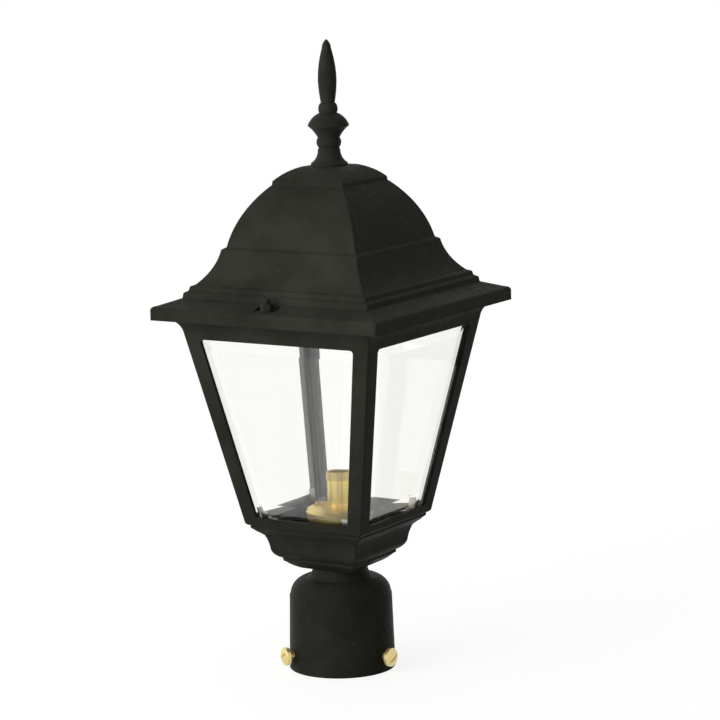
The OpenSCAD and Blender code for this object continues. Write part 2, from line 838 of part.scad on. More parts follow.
module screw_shell() {
    color(brass)
        translate([0, 0, nipple_top + 4.6])
            tube(shell_bore_d / 2 + shell_t, shell_bore_d / 2, holder_top - 1.6 - nipple_top - 4.6);
}

module centre_contact() {
    color(brass)
        translate([0, 0, nipple_top + 3]) {
            cylinder(r = 3.4, h = 0.8);
            cylinder(r = 1.8, h = 1.8);
            translate([0, 0, -2])
                cylinder(r = 1.2, h = 2.4);
        }
}

// Collar casting: bore and stop for the post, shoulder, neck and the plate that closes it
module collar() {
    r = collar_d / 2;
    top_r = r - collar_draft;
    bore = collar_bore_d / 2;
    neck = neck_d / 2;
    stop = bore - 3;
    inner_neck = neck - collar_wall;
    shoulder_end = [neck + 4, neck_z];
    outer = concat(
        [[0, 0], [r, 0], [top_r, shoulder_z - 0.5], [top_r - 0.6, shoulder_z]],
        bow([top_r - 0.6, shoulder_z], shoulder_end, -4, 14),
        [shoulder_end],
        bow(shoulder_end, [neck, bowl_z], 1.2, 6),
        [[neck, bowl_z], [0, bowl_z]]);
    inner = concat(
        [[0, post_depth - cut], [stop, post_depth - cut], [stop, shoulder_z - 2]],
        bow([stop, shoulder_z - 2], [inner_neck, neck_z - collar_wall], -3.4, 8),
        [[inner_neck, neck_z - collar_wall], [inner_neck, plate_z], [0, plate_z]]);
    color(black)
        difference() {
            rotate_extrude()
                polygon(outer);
            rotate_extrude()
                polygon(inner);
            translate([0, 0, -cut])
                cylinder(r = bore, h = post_depth + cut);
            translate([0, 0, plate_z - cut])
                cylinder(d = nipple_d + 2 * thread_gap, h = neck_plate + 2 * cut);
            for (angle = [right_angle, left_angle, back_angle])
                rotate([0, 0, angle])
                    translate([bore - 2, 0, screw_z])
                        rotate([0, 90, 0])
                            cylinder(d = screw_d + 2 * thread_gap, h = 10);
        }
}

// The three collar screws stand a third of a turn apart
right_angle = -5;
left_angle = right_angle - 120;
back_angle = right_angle + 120;
module collar_screw(angle) {
    wall_r = collar_d / 2 - collar_draft * (screw_z - screw_head_d / 2) / collar_h;
    head_r = wall_r + screw_standoff;
    tip_r = collar_bore_d / 2 + 0.3;
    color(brass)
        rotate([0, 0, angle])
            translate([0, 0, screw_z])
                rotate([0, 90, 0])
                    union() {
                        translate([0, 0, tip_r])
                            cylinder(d = screw_d, h = head_r - tip_r + 1);
                        translate([0, 0, head_r])
                            difference() {
                                union() {
                                    cylinder(d = screw_head_d, h = screw_head_h / 2);
                                    intersection() {
                                        cylinder(d = screw_head_d, h = screw_head_h);
                                        translate([0, 0, screw_head_h - screw_head_d * 0.75])
                                            sphere(r = screw_head_d * 0.75);
                                    }
                                }
                                translate([-screw_head_d, -screw_slot / 2, screw_head_h - 2])
                                    cube([2 * screw_head_d, screw_slot, 4]);
                            }
                    }
}

roof();
finial();
finial_stud();
finial_washer();
finial_nut();
roof_nut(-1);  // roof_nut_front
roof_nut(1);  // roof_nut_back
roof_washers();
roof_studs();
cage();
pane(0);  // pane_front
pane(1);  // pane_right
pane(2);  // pane_back
pane(3);  // pane_left
top_clips();
clip_screws();
bottom_clips();
cage_screws();
bowl();
nipple();
nipple_nuts();
nipple_washers();
lamp_cup();
lamp_cover();
cover_screws();
lamp_sleeve();
sleeve_ring();
lamp_insulator();
screw_shell();
centre_contact();
collar();
collar_screw(right_angle);  // collar_screw_right
collar_screw(left_angle);  // collar_screw_left
collar_screw(back_angle);  // collar_screw_back
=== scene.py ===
# %% [markdown]
# # A post top lantern, dressed in Blender
#
# The lantern's solids come from the CAD part: a domed roof, a square cage that tapers downwards,
# four bevelled panes, a stepped bowl and a round collar that slips over a post. This lesson gives
# them the looks of the real thing. It models the castings again with soft edges, and gives paint,
# glass, brass and steel a finish that is made of nodes, with no pictures.
#
# Every length is a real one. The CAD frame is in metres, with its origin in the middle of the
# collar's bottom rim and Z up, so each piece is modelled right where it belongs.

# %% Load the solids
import bpy
import json
import math
from mathutils import Matrix, Vector


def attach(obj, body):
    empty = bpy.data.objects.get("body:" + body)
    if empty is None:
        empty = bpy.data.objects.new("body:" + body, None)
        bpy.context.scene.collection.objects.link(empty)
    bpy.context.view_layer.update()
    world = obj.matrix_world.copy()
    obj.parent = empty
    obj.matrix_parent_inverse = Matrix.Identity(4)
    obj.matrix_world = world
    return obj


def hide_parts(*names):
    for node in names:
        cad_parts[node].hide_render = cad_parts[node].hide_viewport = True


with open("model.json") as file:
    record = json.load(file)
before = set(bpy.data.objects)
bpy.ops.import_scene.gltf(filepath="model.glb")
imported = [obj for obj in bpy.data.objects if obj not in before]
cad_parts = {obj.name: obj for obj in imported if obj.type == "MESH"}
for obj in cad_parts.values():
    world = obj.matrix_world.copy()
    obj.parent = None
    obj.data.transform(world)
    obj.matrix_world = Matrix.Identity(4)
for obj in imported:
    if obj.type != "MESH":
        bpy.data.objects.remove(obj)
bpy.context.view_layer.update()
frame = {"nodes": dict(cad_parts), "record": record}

# %% [markdown]
# ## A camera like the photographer's
#
# A long lens from 2.4 metres flattens the lantern's perspective, as product photographers like it.
# The camera stands 32 degrees round from the front face and 9 degrees above the middle, and it is
# rolled by a degree and a half, because the photograph's lantern leans a little. It could be aimed
# with a Track To constraint, but building its axes from the two angles shows what each one does.

# %% Camera
AROUND, ABOVE, ROLL = 32.132, 9.417, -1.446  # degrees
DISTANCE, AIM_HEIGHT, SIDE_SHIFT = 2.3554, 0.24813, 0.02003  # metres
SENSOR, LENS = 36, 149.1  # millimetres
FARTHEST = 50  # metres


def camera_axes(around, above, roll):
    """Right, up and backward directions of a camera, from its three angles in degrees."""
    a, e, r = (math.radians(angle) for angle in (around, above, roll))
    back = Vector((math.sin(a) * math.cos(e), -math.cos(a) * math.cos(e), math.sin(e)))
    level = (-back).cross(Vector((0, 0, 1))).normalized()
    upright = level.cross(-back)
    right = math.cos(r) * level + math.sin(r) * upright
    up = math.cos(r) * upright - math.sin(r) * level
    return right, up, back


right, up, back = camera_axes(AROUND, ABOVE, ROLL)
camera_data = bpy.data.cameras.new("camera")
camera_data.sensor_width = SENSOR
camera_data.lens = LENS
camera_data.clip_end = FARTHEST
camera = bpy.data.objects.new("camera", camera_data)
bpy.context.scene.collection.objects.link(camera)
camera_place = Vector((0, 0, AIM_HEIGHT)) + back * DISTANCE + right * SIDE_SHIFT
camera_turn = Matrix((right, up, back)).transposed().to_4x4()
camera.matrix_world = Matrix.Translation(camera_place) @ camera_turn
bpy.context.scene.camera = camera
print("camera at", [round(x, 3) for x in camera_place])

# %% [markdown]
# ## Tools for stacked shapes
#
# Nearly all of this lantern is a stack of rings. On the finial, the collar and the lampholder the
# rings are circles, and on the roof, the cage and the bowl they are squares with slightly rounded
# corners. By hand one would add a circle, extrude it upwards, scale it, and go on like that, ring
# after ring. `stack` does just this, from a list of half widths and heights in millimetres.
#
# A profile has straight stretches and arcs. `arc` gives the points of one arc, and `soften` takes
# the sharpness off every corner, because a cast or turned edge always has a small radius, and
# that radius is what catches the light.

# %% Arcs and soft corners for a profile
MM = 0.001
SAME_POINT = 1e-6  # millimetres
CORNER_SHARE = 0.45  # how much of the stretch beside it a corner may take


def arc(start, end, bulge, steps=10):
    """Points from after start up to end. The arc bulges to the left of the way by that much."""
    start, end = Vector(start), Vector(end)
    way = end - start
    radius = way.length ** 2 / (8 * abs(bulge)) + abs(bulge) / 2
    half = math.asin(min(1.0, way.length / (2 * radius)))
    ahead = way.normalized()
    left = Vector((-ahead.y, ahead.x)) * math.copysign(1, bulge)
    centre = (start + end) / 2 - left * (radius - abs(bulge))
    points = []
    for i in range(1, steps + 1):
        t = -half + 2 * half * i / steps
        points.append(tuple(centre + radius * (left * math.cos(t) + ahead * math.sin(t))))
    return points


def soften(points, radius, steps=3, least=18):
    """The profile with each corner that turns by more than `least` degrees made into an arc."""
    points = [Vector(p) for p in points]
    soft = [points[0]]
    for before, here, after in zip(points, points[1:], points[2:]):
        to_before, to_after = before - here, after - here
        shorter = min(to_before.length, to_after.length)
        if shorter < SAME_POINT:
            continue
        turn = math.pi - to_before.angle(to_after)
        if math.degrees(turn) < least:
            soft.append(here)
            continue
        reach = min(radius * math.tan(turn / 2), CORNER_SHARE * shorter)
        first = here + to_before.normalized() * reach
        last = here + to_after.normalized() * reach
        for i in range(steps + 1):
            t = i / steps
            soft.append((1 - t) ** 2 * first + 2 * t * (1 - t) * here + t * t * last)
    soft.append(points[-1])
    return [tuple(p) for p in soft]


arc_points = arc((0, 0), (10, 0), 2, 3)
print("an arc from 0,0 to 10,0:", [tuple(round(v, 2) for v in p) for p in arc_points])


# %% Rings, shells and solids
SEAM = 1e-6  # metres, the widest gap that is joined


def deselect_all():
    if bpy.context.mode != "OBJECT":
        bpy.ops.object.mode_set(mode="OBJECT")
    bpy.ops.object.select_all(action="DESELECT")


def pick(piece):
    """Makes this piece the only one selected, and the active one."""
    deselect_all()
    piece.hide_set(False)
    piece.select_set(True)
    bpy.context.view_layer.objects.active = piece


def settle(piece):
    """Moves a piece's place and turn into its mesh, so that its object sits at the origin."""
    pick(piece)
    bpy.ops.object.transform_apply(location=True, rotation=True, scale=True)


def rename(piece, name):
    piece.name = piece.data.name = name


def close_seams():
    """In edit mode: joins points that coincide, turns all faces outwards, and leaves edit mode."""
    bpy.ops.mesh.select_mode(type="VERT")
    bpy.ops.mesh.select_all(action="SELECT")
    bpy.ops.mesh.remove_doubles(threshold=SEAM)
    bpy.ops.mesh.normals_make_consistent(inside=False)
    bpy.ops.object.mode_set(mode="OBJECT")


def stack(name, rows, sides=96, corner=0.0, closed=False):
    """Rings of (half width or radius, height) in mm. Four sides make squares with round corners."""
    deselect_all()
    square = sides == 4
    width, height = rows[0]
    bpy.ops.mesh.primitive_circle_add(
        vertices=sides, radius=width * MM * (math.sqrt(2) if square else 1),
        location=(0, 0, height * MM), rotation=(0, 0, math.radians(45) if square else 0))
    piece = bpy.context.active_object
    rename(piece, name)
    settle(piece)
    bpy.ops.object.mode_set(mode="EDIT")
    bpy.ops.mesh.select_all(action="SELECT")
    if square:
        bpy.ops.mesh.bevel(offset=corner * width * MM, segments=4, affect="VERTICES")
        bpy.ops.mesh.select_all(action="SELECT")
    if not closed:
        bpy.ops.mesh.edge_face_add()
    for new_width, new_height in rows[1:]:
        bpy.ops.mesh.extrude_region_move()
        ratio = new_width / width
        bpy.ops.transform.resize(value=(ratio, ratio, 1), center_override=(0, 0, height * MM))
        bpy.ops.transform.translate(value=(0, 0, (new_height - height) * MM))
        width, height = new_width, new_height
    close_seams()
    return piece


print("a square's corners lie", round(math.sqrt(2), 3), "times as far out as its sides")


# %% Cutting, joining and smoothing
def use_boolean(piece, other, operation):
    """Cuts the other solid off, joins it on, or keeps what both share. The other is used up."""
    pick(piece)
    change = piece.modifiers.new("change", "BOOLEAN")
    change.operation = operation
    change.solver = "EXACT"
    change.object = other
    bpy.ops.object.modifier_apply(modifier=change.name)
    bpy.data.objects.remove(other)


def ease_edges(piece, width, segments=2, angle=50):
    """Takes the sharpness off edges that turn by more than the angle, as a file would."""
    pick(piece)
    ease = piece.modifiers.new("ease", "BEVEL")
    ease.width = width * MM
    ease.segments = segments
    ease.limit_method = "ANGLE"
    ease.angle_limit = math.radians(angle)
    bpy.ops.object.modifier_apply(modifier=ease.name)


def smooth(piece, angle=35):
    """Shades gentle turns as curved, and keeps large flat faces flat beside small round edges."""
    pick(piece)
    bpy.ops.object.shade_smooth_by_angle(angle=math.radians(angle))
    weigh = piece.modifiers.new("weigh", "WEIGHTED_NORMAL")
    weigh.keep_sharp = True
    bpy.ops.object.modifier_apply(modifier=weigh.name)


def wear(piece, material, body, slot, *nodes):
    """Gives a piece its finish and its moving body, and hides the solids that it stands for. The
    slot is not used.
    """
    piece.data.materials.clear()
    piece.data.materials.append(material)
    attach(piece, body)
    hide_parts(*nodes)
    print(piece.name, len(piece.data.polygons), "faces")


# %% [markdown]
# ## Finishes
#
# Black satin paint on a casting isn't a flat black. Under the paint the metal keeps the fine grain
# of the sand that it was cast in, the paint adds a softer ripple, and dust and small chips show as
# paler specks. A picture of paint could be wrapped round the shape, but noise that is read in
# object coordinates has the same scale on every casting and needs no unwrapping. The coordinates
# are in metres, so a noise with a scale of 900 has a grain of about a millimetre.

# %% Node helpers
GRAIN = 900


def feed(value, socket):
    """Links a node's output to a socket, or gives the socket a plain value."""
    if isinstance(value, bpy.types.NodeSocket):
        socket.id_data.links.new(value, socket)
    else:
        socket.default_value = value


def node_adder(tree):
    """A function that adds a node to this tree and feeds its inputs, which it takes by name."""
    def add(kind, **inputs):
        node = tree.nodes.new(kind)
        for key, value in inputs.items():
            feed(value, node.inputs[key.replace("_", " ")])
        return node

    return add


def new_finish(name):
    """A material, its Principled shader, and a function that adds more nodes."""
    material = bpy.data.materials.new(name)
    material.use_nodes = True
    tree = material.node_tree
    return material, tree.nodes["Principled BSDF"], node_adder(tree)


def object_place(add):
    return add("ShaderNodeTexCoord").outputs["Object"]


def noise(add, place, scale, detail=2.0, roughness=0.5):
    node = add("ShaderNodeTexNoise", Vector=place, Scale=scale, Detail=detail, Roughness=roughness)
    return node.outputs["Fac"]


def ramp(add, value, low, high, dark, light):
    """Fades from the dark to the light colour while the value goes from low to high."""
    node = add("ShaderNodeValToRGB", Fac=value)
    first, last = node.color_ramp.elements
    first.position, last.position = low, high
    first.color, last.color = (*dark, 1), (*light, 1)
    return node.outputs["Color"]


def between(add, value, low, high, out_low, out_high, way="LINEAR"):
    """Goes from out_low to out_high while the value goes from low to high."""
    node = add("ShaderNodeMapRange", Value=value, From_Min=low, From_Max=high,
               To_Min=out_low, To_Max=out_high)
    node.interpolation_type = way
    return node.outputs["Result"]


def maths(add, operation, one, two=0):
    node = add("ShaderNodeMath")
    node.operation = operation
    feed(one, node.inputs[0])
    feed(two, node.inputs[1])
    return node.outputs["Value"]


def mixed(add, factor, one, two):
    """Mixes two colours. The node keeps its colours in sockets 6 and 7, and in output 2."""
    node = add("ShaderNodeMix")
    node.data_type = "RGBA"
    feed(factor, node.inputs[0])
    feed(one, node.inputs[6])
    feed(two, node.inputs[7])
    return node.outputs[2]


def bump(add, height, strength, depth, **under):
    """Bumps of this depth in millimetres, on top of the bumps under them."""
    node = add("ShaderNodeBump", Height=height, Strength=strength, Distance=depth * MM, **under)
    return node.outputs["Normal"]


print("the grain is about", round(1 / MM / GRAIN, 1), "mm wide")


# %% Black paint
def make_paint():
    material, shader, add = new_finish("black_paint")
    place = object_place(add)
    patches = noise(add, place, 22, 4, 0.6)
    grain = noise(add, place, GRAIN, 2, 0.6)
    ripple = noise(add, place, 210, 3, 0.55)
    dark, light = (0.0285, 0.0294, 0.0229), (0.0506, 0.0511, 0.0416)
    coat = ramp(add, patches, 0.35, 0.7, dark, light)
    cells = add("ShaderNodeTexVoronoi", Vector=place, Scale=170)
    dot = between(add, cells.outputs["Distance"], 0.03, 0.10, 1, 0)
    draw = add("ShaderNodeSeparateColor", Color=cells.outputs["Color"]).outputs["Red"]
    few = between(add, draw, 0.965, 0.975, 0, 1)
    chip = maths(add, "MULTIPLY", dot, few)
    feed(mixed(add, chip, coat, (0.16, 0.16, 0.13, 1)), shader.inputs["Base Color"])
    shader.inputs["Specular Tint"].default_value = (1, 1, 0.84, 1)
    shader.inputs["Specular IOR Level"].default_value = 0.02
    uneven = maths(add, "MULTIPLY", patches, ripple)
    feed(between(add, uneven, 0.12, 0.42, 0.36, 0.62), shader.inputs["Roughness"])
    fine = bump(add, grain, 0.35, 0.3)
    feed(bump(add, ripple, 0.35, 1.0, Normal=fine), shader.inputs["Normal"])
    return material


black_paint = make_paint()
print("paint nodes:", len(black_paint.node_tree.nodes))

# %% [markdown]
# Window glass reflects about a twenty-fifth of the light at each face and lets the rest through.
# The panes have been handled, so a thin uneven film of dust lies on the flat of their outer face,
# and makes the dark things behind it a little milky. The polished bevels are clear, and so they
# show as a bright border. The film finds the flat by its direction, as every pane leans alike.

# %% Bevelled glass
PANE_LEAN = 11.34  # degrees


def outer_flat(add, place):
    """1 on the flat part of a pane's outer face, and 0 on its bevels, edges and inner face."""
    towards = add("ShaderNodeNewGeometry").outputs["True Normal"]
    normal = add("ShaderNodeSeparateXYZ", Vector=towards).outputs
    spot = add("ShaderNodeSeparateXYZ", Vector=place).outputs
    x, y, z = (maths(add, "ABSOLUTE", normal[axis]) for axis in "XYZ")
    lean = maths(add, "SUBTRACT", z, math.sin(math.radians(PANE_LEAN)))
    tilt = maths(add, "ADD", maths(add, "ABSOLUTE", lean), maths(add, "MINIMUM", x, y))
    outward = maths(add, "ADD", maths(add, "MULTIPLY", normal["X"], spot["X"]),
                    maths(add, "MULTIPLY", normal["Y"], spot["Y"]))
    flat = between(add, tilt, 0.015, 0.04, 1, 0)
    outer = between(add, outward, 0, 0.01, 0, 1)
    return maths(add, "MULTIPLY", flat, outer)


def make_glass():
    material, shader, add = new_finish("pane_glass")
    place = object_place(add)
    dust = between(add, noise(add, place, 11, 3), 0.3, 0.7, 0.6, 1.0)
    film = maths(add, "MULTIPLY", outer_flat(add, place), dust)
    clean, dusty = (1.0, 1.0, 0.985, 1), (0.975, 0.975, 0.95, 1)
    feed(mixed(add, film, clean, dusty), shader.inputs["Base Color"])
    shader.inputs["IOR"].default_value = 1.46
    shader.inputs["Roughness"].default_value = 0.0
    feed(between(add, film, 0, 1, 1.0, 0.95), shader.inputs["Transmission Weight"])
    return material


pane_glass = make_glass()
print("glass nodes:", len(pane_glass.node_tree.nodes))

# %% [markdown]
# The lampholder's parts are spun or turned from brass sheet and rod, polished and lacquered. A
# lathe leaves fine lines round the axis, so on these pieces the bump follows their height only.


# %% Brass, steel and moulded plastic
def make_metal(name, colour, darker, rough, lines=0.0, metallic=1.0):
    """A metal whose roughness stays in a range. Lines are a lathe's marks, round the Z axis."""
    material, shader, add = new_finish(name)
    place = object_place(add)
    clouds = noise(add, place, 60, 3)
    feed(ramp(add, clouds, 0.3, 0.75, darker, colour), shader.inputs["Base Color"])
    shader.inputs["Metallic"].default_value = metallic
    feed(between(add, clouds, 0.3, 0.7, *rough), shader.inputs["Roughness"])
    if lines:
        squeezed = add("ShaderNodeMapping", Vector=place, Scale=(20, 20, 1600)).outputs["Vector"]
        height = noise(add, squeezed, 1.0, 2)
    else:
        height = noise(add, place, GRAIN, 2)
    feed(bump(add, height, lines or 0.1, 0.1), shader.inputs["Normal"])
    return material


def make_moulded():
    material, shader, add = new_finish("moulded_black")
    place = object_place(add)
    dark, light = (0.012, 0.010, 0.009), (0.03, 0.026, 0.022)
    feed(ramp(add, noise(add, place, 80, 3), 0.3, 0.7, dark, light), shader.inputs["Base Color"])
    shader.inputs["Roughness"].default_value = 0.55
    feed(bump(add, noise(add, place, 700, 2), 0.15, 0.2), shader.inputs["Normal"])
    return material


lamp_brass = make_metal("lamp_brass", (1.0, 0.80, 0.22), (1.0, 0.74, 0.17),
                        rough=(0.30, 0.42), lines=0.12, metallic=0.75)
ring_brass = make_metal("ring_brass", (0.80, 0.60, 0.21), (0.66, 0.48, 0.15),
                        rough=(0.34, 0.46), lines=0.12, metallic=0.75)
screw_brass = make_metal("screw_brass", (1.0, 0.86, 0.42), (0.95, 0.74, 0.30),
                         rough=(0.20, 0.34), metallic=0.6)
zinc_steel = make_metal("zinc_steel", (0.62, 0.62, 0.60), (0.42, 0.42, 0.40), rough=(0.28, 0.45))
moulded_black = make_moulded()
print("metals:", lamp_brass.name, ring_brass.name, screw_brass.name, zinc_steel.name)

# %% [markdown]
# ## The roof
#
# The roof is the lantern's hardest casting: one hollow shell, three millimetres thick, with an
# upright lip, a sloping eave, two small steps, a hollow skirt, a ledge, a dome and a cap. All four
# sides have the same profile and meet in four hips. A curve with a profile could be swept round a
# square, but a stack of rings keeps the hips clean and gives the inside at the same time: the
# rings start under the cap, go down the inside, turn round the lip and come up the outside.

# %% The roof's profile
ROOF_WALL = 3
LIP, LIP_BOTTOM = 103.5, 288.4
CAP_TOP = 402.6
roof_outside = (
    [(LIP, LIP_BOTTOM), (LIP, 296.3)]
    + arc((LIP, 296.3), (100.3, 299.1), -0.85, 8)
    + [(85.2, 304.4), (84.6, 308.4), (81.6, 310.0), (80.8, 313.2), (77.6, 314.4)]
    + arc((77.6, 314.4), (62.6, 340.6), 2.4, 14)
    + [(59.5, 342.4)]
    + arc((59.5, 342.4), (33.8, 388.4), -3.9, 18)
    + [(33.0, 388.8), (32.6, 392.0)]
    + arc((32.6, 392.0), (15.5, CAP_TOP), -1.4, 8))
roof_inside = [(x - ROOF_WALL, z - ROOF_WALL) for x, z in reversed(roof_outside[1:])]
roof_inside += [(LIP - ROOF_WALL, LIP_BOTTOM)]
roof_rows = soften(roof_inside, 1.0, 2) + soften(roof_outside, 0.9, 3)
roof = stack("roof_casting", roof_rows, sides=4, corner=0.018)
print("roof rows:", len(roof_rows))

# %% [markdown]
# Two studs hold the roof. Inside, a boss stands round each stud, and outside a round flat is sunk
# into the sloping eave for the washer and the spanner. The boss must not stand out of the eave, so
# it is first cut to the roof's own outline. Then it is joined on, and the flat is cut after it, as
# the foundry and the mill would do it. On the two sides without a stud, a small foot keeps the
# roof level on the cage.

# %% Bosses and flats for the studs, and feet
FLANGE_TOP = 292.1
STUD_Y, FOOT_X = 93.5, 89
BOSS, FLAT, BORE, FOOT = 11.6, 10.0, 2.8, 4.0  # radii


def drum(x, y, low, high, radius, sides=48):
    """An upright cylinder in mm, between two heights."""
    deselect_all()
    bpy.ops.mesh.primitive_cylinder_add(
        vertices=sides, radius=radius * MM, depth=(high - low) * MM,
        location=(x * MM, y * MM, (low + high) / 2 * MM))
    piece = bpy.context.active_object
    settle(piece)
    return piece


eave_rows = roof_outside[:14]  # up to the second small step
under_the_skin = [(x - 0.3, z - 0.3) for x, z in soften(eave_rows, 0.9, 3)]
for side in (-1, 1):
    boss = drum(0, side * STUD_Y, FLANGE_TOP, 306.0, BOSS)
    use_boolean(boss, stack("outline", under_the_skin, sides=4), "INTERSECT")
    use_boolean(roof, boss, "UNION")
    use_boolean(roof, drum(0, side * STUD_Y, 300.0, 315.0, FLAT, 64), "DIFFERENCE")
    use_boolean(roof, drum(0, side * STUD_Y, 290.0, 302.0, BORE), "DIFFERENCE")
    use_boolean(roof, drum(side * FOOT_X, 0, FLANGE_TOP, 298.0, FOOT), "UNION")
smooth(roof)
wear(roof, black_paint, "roof", "black_cast", "roof")

# %% [markdown]
# ## The finial
#
# A spear on a sharp-edged disc crowns the roof. It is turned on a lathe, or cast from a turned
# pattern, so every section is a circle, and the spin tool would do as well as a stack of rings.

# %% Finial
finial_rows = [(14.5, 0), (14.5, 1.8)] + arc((14.5, 1.8), (8.9, 12.2), 1.6, 12)
finial_rows += [(8.3, 13.2), (8.3, 14.2)] + arc((8.3, 14.2), (8.6, 21.6), -1.3, 10)
finial_rows += arc((8.6, 21.6), (16.1, 30.8), 0.7, 8) + [(16.1, 31.8)]
finial_rows += arc((16.1, 31.8), (8.25, 40.4), -1.0, 10) + [(6.9, 40.8)]
finial_rows += arc((6.9, 40.8), (6.6, 47.8), -0.9, 10) + [(5.5, 48.9)]
finial_rows += arc((5.5, 48.9), (7.35, 66.0), -0.3, 10)
finial_rows += arc((7.35, 66.0), (3.67, 91.0), -0.9, 14)
finial_rows += arc((3.67, 91.0), (0.05, 98.2), -0.9, 10)
placed_rows = [(radius, z + CAP_TOP) for radius, z in soften(finial_rows, 0.45, 3)]
finial = stack("finial_spear", placed_rows, sides=72)
smooth(finial)
wear(finial, black_paint, "roof", "black_cast", "finial")

# %% [markdown]
# ## The roof nuts
#
# A plain hexagon nut holds the roof on each stud, and the stud's flat end stands out of it. The
# nut is a six-sided prism. Intersected with a drum that narrows at its ends, it gets turned-off
# corners, and with them the curved marks that every real nut has. One nut is modelled on the
# middle axis, and then it and its copy are moved to their studs.

# %% Roof nuts
HALF_ACROSS, NUT_HEIGHT, NUT_MIDDLE = 4.6, 4.6, 303.3


def with_copies(piece, count):
    """The piece and copies of it, count in all, each with its own mesh."""
    family = [piece]
    while len(family) < count:
        pick(piece)
        bpy.ops.object.duplicate(linked=False)
        family.append(bpy.context.active_object)
    return family


def move_to(piece, x, y):
    piece.location = (x * MM, y * MM, 0)
    settle(piece)


deselect_all()
bpy.ops.mesh.primitive_cylinder_add(
    vertices=6, radius=HALF_ACROSS / math.cos(math.radians(30)) * MM,
    depth=NUT_HEIGHT * MM, location=(0, 0, NUT_MIDDLE * MM))
plain_nut = bpy.context.active_object
settle(plain_nut)
turning = stack("turning", [(4.6, 300.9), (5.4, 301.4), (5.4, 305.0), (4.4, 305.7)], sides=48)
use_boolean(plain_nut, turning, "INTERSECT")
use_boolean(plain_nut, drum(0, 0, 300.0, 307.0, 2.55), "DIFFERENCE")
ease_edges(plain_nut, 0.12)
for nut, place, y in zip(with_copies(plain_nut, 2), ("front", "back"), (-STUD_Y, STUD_Y)):
    rename(nut, "roof_nut_" + place)
    move_to(nut, 0, y)
    smooth(nut, 30)
    wear(nut, black_paint, "nut_" + place, "black_cast", "roof_nut_" + place)

# %% [markdown]
# The stud's end shows its thread. Rings that go in and out with the thread's pitch of 0.8 mm look
# the same as a true helix at this size, and stay one closed solid. Under the nut the stud is plain.

# %% Stud ends with their threads
PITCH = 0.8


def unite(piece, other, name):
    """Makes two loose pieces one object with one mesh."""
    pick(piece)
    other.select_set(True)
    bpy.ops.object.join()
    rename(piece, name)


stud_rows = [(2.0, 288.8), (2.5, 289.3), (2.5, 305.2)]
for turn in range(5):
    stud_rows += [(2.32, 305.4 + PITCH * turn), (2.5, 305.8 + PITCH * turn)]
stud_rows[-1:] = [(2.35, 309.1), (1.9, 309.4)]
front_stud, back_stud = with_copies(stack("roof_stud", stud_rows, sides=32), 2)
move_to(front_stud, 0, -STUD_Y)
move_to(back_stud, 0, STUD_Y)
unite(front_stud, back_stud, "roof_stud_pair")
smooth(front_stud, 20)
wear(front_stud, black_paint, "base", "black_cast", "roof_studs")

# %% [markdown]
# ## The cage
#
# The cage is one casting too: four leaning walls with a large window in each, a ledge below that
# the panes stand on, and a flange above that carries the roof. Building bars one by one would
# leave joints that the casting doesn't have. So the walls are stacked as one tapered box, and the
# windows are cut out of it afterwards, two at a time, with a wedge that runs right through.

# %% Walls, ledge and flange
cage_outside = [(20.0, 120.5), (52.5, 120.5), (54.0, 122.0), (85.3, 278.0)]
cage_outside += arc((85.3, 278.0), (93.5, 288.6), 1.57, 8)
cage_outside += [(94.0, 289.1), (94.0, FLANGE_TOP)]
cage_inside = [(84.87, FLANGE_TOP), (51.04, 123.5), (20.0, 123.5)]
cage_rows = soften(cage_outside + cage_inside, 0.5, 2)
cage = stack("cage_casting", cage_rows, sides=4, corner=0.016)
print("cage:", len(cage.data.polygons), "faces before its windows")

# %% Wedges for the windows, and the hole in the ledge
WINDOW_BOTTOM, WINDOW_TOP = 127.5, 272.5
HALF_BOTTOM, HALF_TOP = 42.6, 70.4  # half the window's width at these heights
Y, Z = 1, 2  # an axis as a number


def block(x, y, z, low=(0, 0, 0)):
    """A box that is x, y, z mm large, with its lowest corner at low."""
    deselect_all()
    middle = [(corner + size / 2) * MM for corner, size in zip(low, (x, y, z))]
    bpy.ops.mesh.primitive_cube_add(size=1, location=middle)
    piece = bpy.context.active_object
    piece.scale = (x * MM, y * MM, z * MM)
    settle(piece)
    return piece


def select_none(kind):
    """Leaves no point or edge of the active piece selected."""
    bpy.ops.object.mode_set(mode="EDIT")
    bpy.ops.mesh.select_mode(type=kind)
    bpy.ops.mesh.select_all(action="DESELECT")
    bpy.ops.object.mode_set(mode="OBJECT")


def round_along(piece, axis, radius, steps=5, where=lambda middle: True):
    """Rounds the edges of a box that run along this axis, where the test on their middle holds."""
    pick(piece)
    select_none("EDGE")
    points = piece.data.vertices
    for edge in piece.data.edges:
        a, b = (points[v].co for v in edge.vertices)
        along = (b - a).normalized()
        edge.select = abs(along[axis]) > 0.99 and where((a + b) / 2 / MM)
    bpy.ops.object.mode_set(mode="EDIT")
    bpy.ops.mesh.bevel(offset=radius * MM, segments=steps, affect="EDGES")
    bpy.ops.object.mode_set(mode="OBJECT")


def window_wedge():
    """Cuts the front and the back window in one go."""
    wedge = block(2 * HALF_BOTTOM, 240, WINDOW_TOP - WINDOW_BOTTOM,
                  (-HALF_BOTTOM, -120, WINDOW_BOTTOM))
    select_none("VERT")
    for point in wedge.data.vertices:
        point.select = point.co.z > (WINDOW_BOTTOM + WINDOW_TOP) / 2 * MM
    bpy.ops.object.mode_set(mode="EDIT")
    bpy.ops.transform.resize(value=(HALF_TOP / HALF_BOTTOM, 1, 1),
                             center_override=(0, 0, WINDOW_TOP * MM))
    bpy.ops.object.mode_set(mode="OBJECT")
    round_along(wedge, Y, 3.0)
    return wedge


